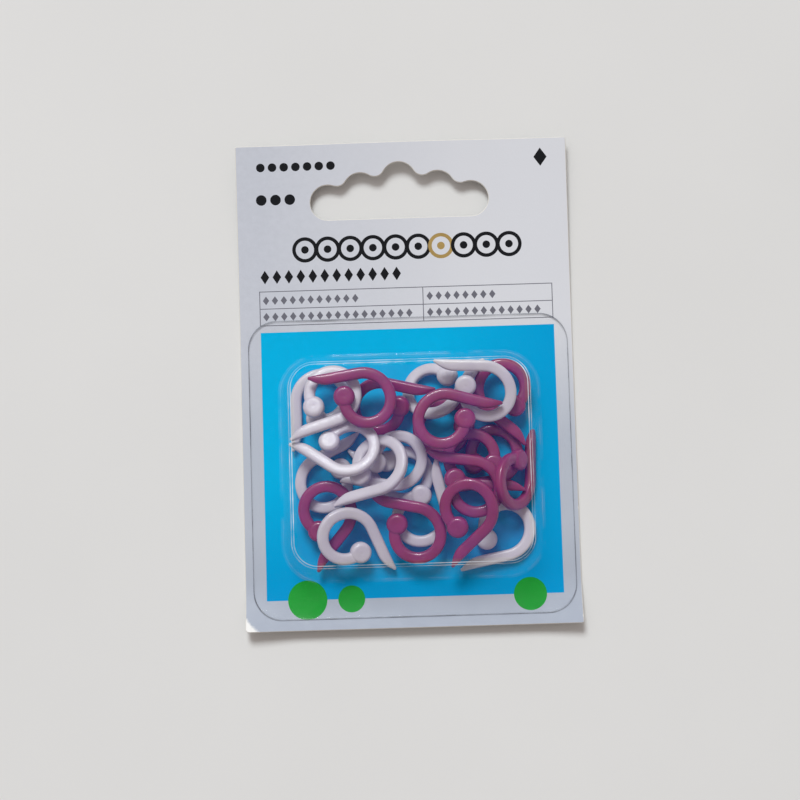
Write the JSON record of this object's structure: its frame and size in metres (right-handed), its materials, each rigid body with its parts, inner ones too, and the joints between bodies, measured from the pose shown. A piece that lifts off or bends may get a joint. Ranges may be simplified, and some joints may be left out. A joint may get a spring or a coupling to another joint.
{
  "type": "stitch marker pack",
  "caption": "Carded blister pack of locking stitch markers: a printed card with a hang slot, and a clear bubble holding loose hooked plastic rings in two colours.",
  "frame": {"origin": "middle of the card's back", "axes": "+Z out of the printed face, +Y to the hang slot, +X to the right as read"},
  "size_m": [0.065, 0.095, 0.0118],
  "materials": {
    "card": "printed silver-grey face with a blue panel, plain back",
    "blister": "clear, formed sheet",
    "marker_white": "moulded, satin",
    "marker_purple": "moulded, satin"
  },
  "bodies": {
    "pack": {"card": "card", "blister": "blister"},
    "loose_white_01": {"marker_white_01": "marker_white"},
    "loose_white_02": {"marker_white_02": "marker_white"},
    "loose_white_03": {"marker_white_03": "marker_white"},
    "loose_white_04": {"marker_white_04": "marker_white"},
    "loose_white_05": {"marker_white_05": "marker_white"},
    "loose_white_06": {"marker_white_06": "marker_white"},
    "loose_white_07": {"marker_white_07": "marker_white"},
    "loose_white_08": {"marker_white_08": "marker_white"},
    "loose_white_09": {"marker_white_09": "marker_white"},
    "loose_white_10": {"marker_white_10": "marker_white"},
    "loose_white_11": {"marker_white_11": "marker_white"},
    "loose_white_12": {"marker_white_12": "marker_white"},
    "loose_purple_01": {"marker_purple_01": "marker_purple"},
    "loose_purple_02": {"marker_purple_02": "marker_purple"},
    "loose_purple_03": {"marker_purple_03": "marker_purple"},
    "loose_purple_04": {"marker_purple_04": "marker_purple"},
    "loose_purple_05": {"marker_purple_05": "marker_purple"},
    "loose_purple_06": {"marker_purple_06": "marker_purple"},
    "loose_purple_07": {"marker_purple_07": "marker_purple"},
    "loose_purple_08": {"marker_purple_08": "marker_purple"},
    "loose_purple_09": {"marker_purple_09": "marker_purple"},
    "loose_purple_10": {"marker_purple_10": "marker_purple"},
    "loose_purple_11": {"marker_purple_11": "marker_purple"},
    "loose_purple_12": {"marker_purple_12": "marker_purple"}
  },
  "joints": [
    {"name": "lift_white_01", "type": "slide", "parent": "pack", "child": "loose_white_01", "axis": [0, 0, 1], "range_m": [0, 0.0005]},
    {"name": "lift_white_02", "type": "slide", "parent": "pack", "child": "loose_white_02", "axis": [0, 0, 1], "range_m": [0, 0.0005]},
    {"name": "lift_white_03", "type": "slide", "parent": "pack", "child": "loose_white_03", "axis": [0, 0, 1], "range_m": [0, 0.0005]},
    {"name": "lift_white_04", "type": "slide", "parent": "pack", "child": "loose_white_04", "axis": [0, 0, 1], "range_m": [0, 0.0005]},
    {"name": "lift_white_05", "type": "slide", "parent": "pack", "child": "loose_white_05", "axis": [0, 0, 1], "range_m": [0, 0.0005]},
    {"name": "lift_white_06", "type": "slide", "parent": "pack", "child": "loose_white_06", "axis": [0, 0, 1], "range_m": [0, 0.0005]},
    {"name": "lift_white_07", "type": "slide", "parent": "pack", "child": "loose_white_07", "axis": [0, 0, 1], "range_m": [0, 0.0005]},
    {"name": "lift_white_08", "type": "slide", "parent": "pack", "child": "loose_white_08", "axis": [0, 0, 1], "range_m": [0, 0.0005]},
    {"name": "lift_white_09", "type": "slide", "parent": "pack", "child": "loose_white_09", "axis": [0, 0, 1], "range_m": [0, 0.0005]},
    {"name": "lift_white_10", "type": "slide", "parent": "pack", "child": "loose_white_10", "axis": [0, 0, 1], "range_m": [0, 0.0005]},
    {"name": "lift_white_11", "type": "slide", "parent": "pack", "child": "loose_white_11", "axis": [0, 0, 1], "range_m": [0, 0.0005]},
    {"name": "lift_white_12", "type": "slide", "parent": "pack", "child": "loose_white_12", "axis": [0, 0, 1], "range_m": [0, 0.0005]},
    {"name": "lift_purple_01", "type": "slide", "parent": "pack", "child": "loose_purple_01", "axis": [0, 0, 1], "range_m": [0, 0.0005]},
    {"name": "lift_purple_02", "type": "slide", "parent": "pack", "child": "loose_purple_02", "axis": [0, 0, 1], "range_m": [0, 0.0005]},
    {"name": "lift_purple_03", "type": "slide", "parent": "pack", "child": "loose_purple_03", "axis": [0, 0, 1], "range_m": [0, 0.0005]},
    {"name": "lift_purple_04", "type": "slide", "parent": "pack", "child": "loose_purple_04", "axis": [0, 0, 1], "range_m": [0, 0.0005]},
    {"name": "lift_purple_05", "type": "slide", "parent": "pack", "child": "loose_purple_05", "axis": [0, 0, 1], "range_m": [0, 0.0005]},
    {"name": "lift_purple_06", "type": "slide", "parent": "pack", "child": "loose_purple_06", "axis": [0, 0, 1], "range_m": [0, 0.0005]},
    {"name": "lift_purple_07", "type": "slide", "parent": "pack", "child": "loose_purple_07", "axis": [0, 0, 1], "range_m": [0, 0.0005]},
    {"name": "lift_purple_08", "type": "slide", "parent": "pack", "child": "loose_purple_08", "axis": [0, 0, 1], "range_m": [0, 0.0005]},
    {"name": "lift_purple_09", "type": "slide", "parent": "pack", "child": "loose_purple_09", "axis": [0, 0, 1], "range_m": [0, 0.0005]},
    {"name": "lift_purple_10", "type": "slide", "parent": "pack", "child": "loose_purple_10", "axis": [0, 0, 1], "range_m": [0, 0.0005]},
    {"name": "lift_purple_11", "type": "slide", "parent": "pack", "child": "loose_purple_11", "axis": [0, 0, 1], "range_m": [0, 0.0005]},
    {"name": "lift_purple_12", "type": "slide", "parent": "pack", "child": "loose_purple_12", "axis": [0, 0, 1], "range_m": [0, 0.0005]}
  ],
  "couplings": [
    {"joint": "lift_white_02", "follows": "lift_white_01", "ratio": 1},
    {"joint": "lift_white_03", "follows": "lift_white_01", "ratio": 1},
    {"joint": "lift_white_04", "follows": "lift_white_01", "ratio": 1},
    {"joint": "lift_white_05", "follows": "lift_white_01", "ratio": 1},
    {"joint": "lift_white_06", "follows": "lift_white_01", "ratio": 1},
    {"joint": "lift_white_07", "follows": "lift_white_01", "ratio": 1},
    {"joint": "lift_white_08", "follows": "lift_white_01", "ratio": 1},
    {"joint": "lift_white_09", "follows": "lift_white_01", "ratio": 1},
    {"joint": "lift_white_10", "follows": "lift_white_01", "ratio": 1},
    {"joint": "lift_white_11", "follows": "lift_white_01", "ratio": 1},
    {"joint": "lift_white_12", "follows": "lift_white_01", "ratio": 1},
    {"joint": "lift_purple_01", "follows": "lift_white_01", "ratio": 1},
    {"joint": "lift_purple_02", "follows": "lift_white_01", "ratio": 1},
    {"joint": "lift_purple_03", "follows": "lift_white_01", "ratio": 1},
    {"joint": "lift_purple_04", "follows": "lift_white_01", "ratio": 1},
    {"joint": "lift_purple_05", "follows": "lift_white_01", "ratio": 1},
    {"joint": "lift_purple_06", "follows": "lift_white_01", "ratio": 1},
    {"joint": "lift_purple_07", "follows": "lift_white_01", "ratio": 1},
    {"joint": "lift_purple_08", "follows": "lift_white_01", "ratio": 1},
    {"joint": "lift_purple_09", "follows": "lift_white_01", "ratio": 1},
    {"joint": "lift_purple_10", "follows": "lift_white_01", "ratio": 1},
    {"joint": "lift_purple_11", "follows": "lift_white_01", "ratio": 1},
    {"joint": "lift_purple_12", "follows": "lift_white_01", "ratio": 1}
  ]
}
